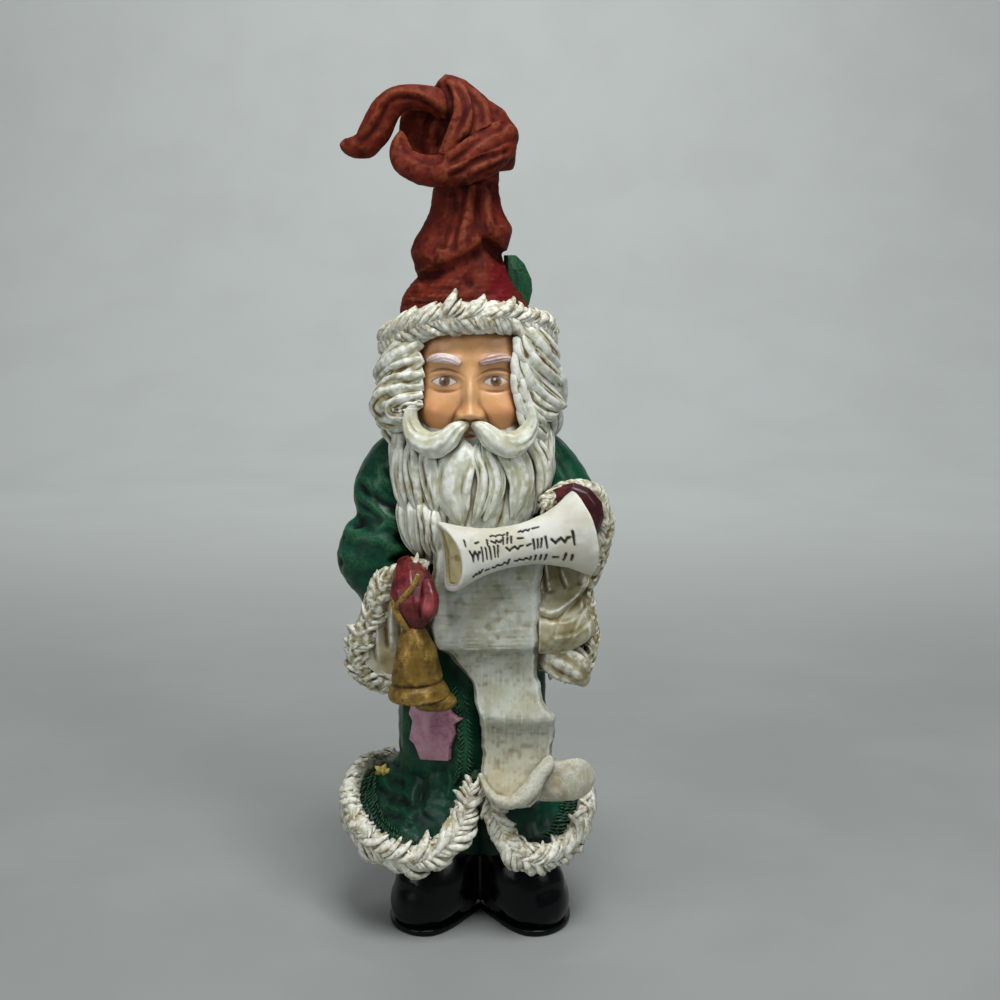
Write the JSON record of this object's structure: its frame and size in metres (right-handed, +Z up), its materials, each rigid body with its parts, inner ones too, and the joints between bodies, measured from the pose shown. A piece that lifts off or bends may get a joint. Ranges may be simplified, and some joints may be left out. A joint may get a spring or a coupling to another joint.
{
  "type": "santa figurine",
  "caption": "Slim standing gift-bringer figurine, cast in one piece, with a tall twisted hat, fur-trimmed coat, bell and unrolled list.",
  "frame": {"origin": "on the soles' plane, between the heels", "axes": "+Z up along the figure, -Y the way that the figure faces, +X to the right of someone who looks at its face"},
  "size_m": [0.0553, 0.0432, 0.1654],
  "materials": {
    "painted_resin": "hand-painted, satin, with a brown wash in the grooves; the boots are glossy"
  },
  "bodies": {
    "root": {"santa_figurine": "painted_resin"}
  },
  "joints": []
}
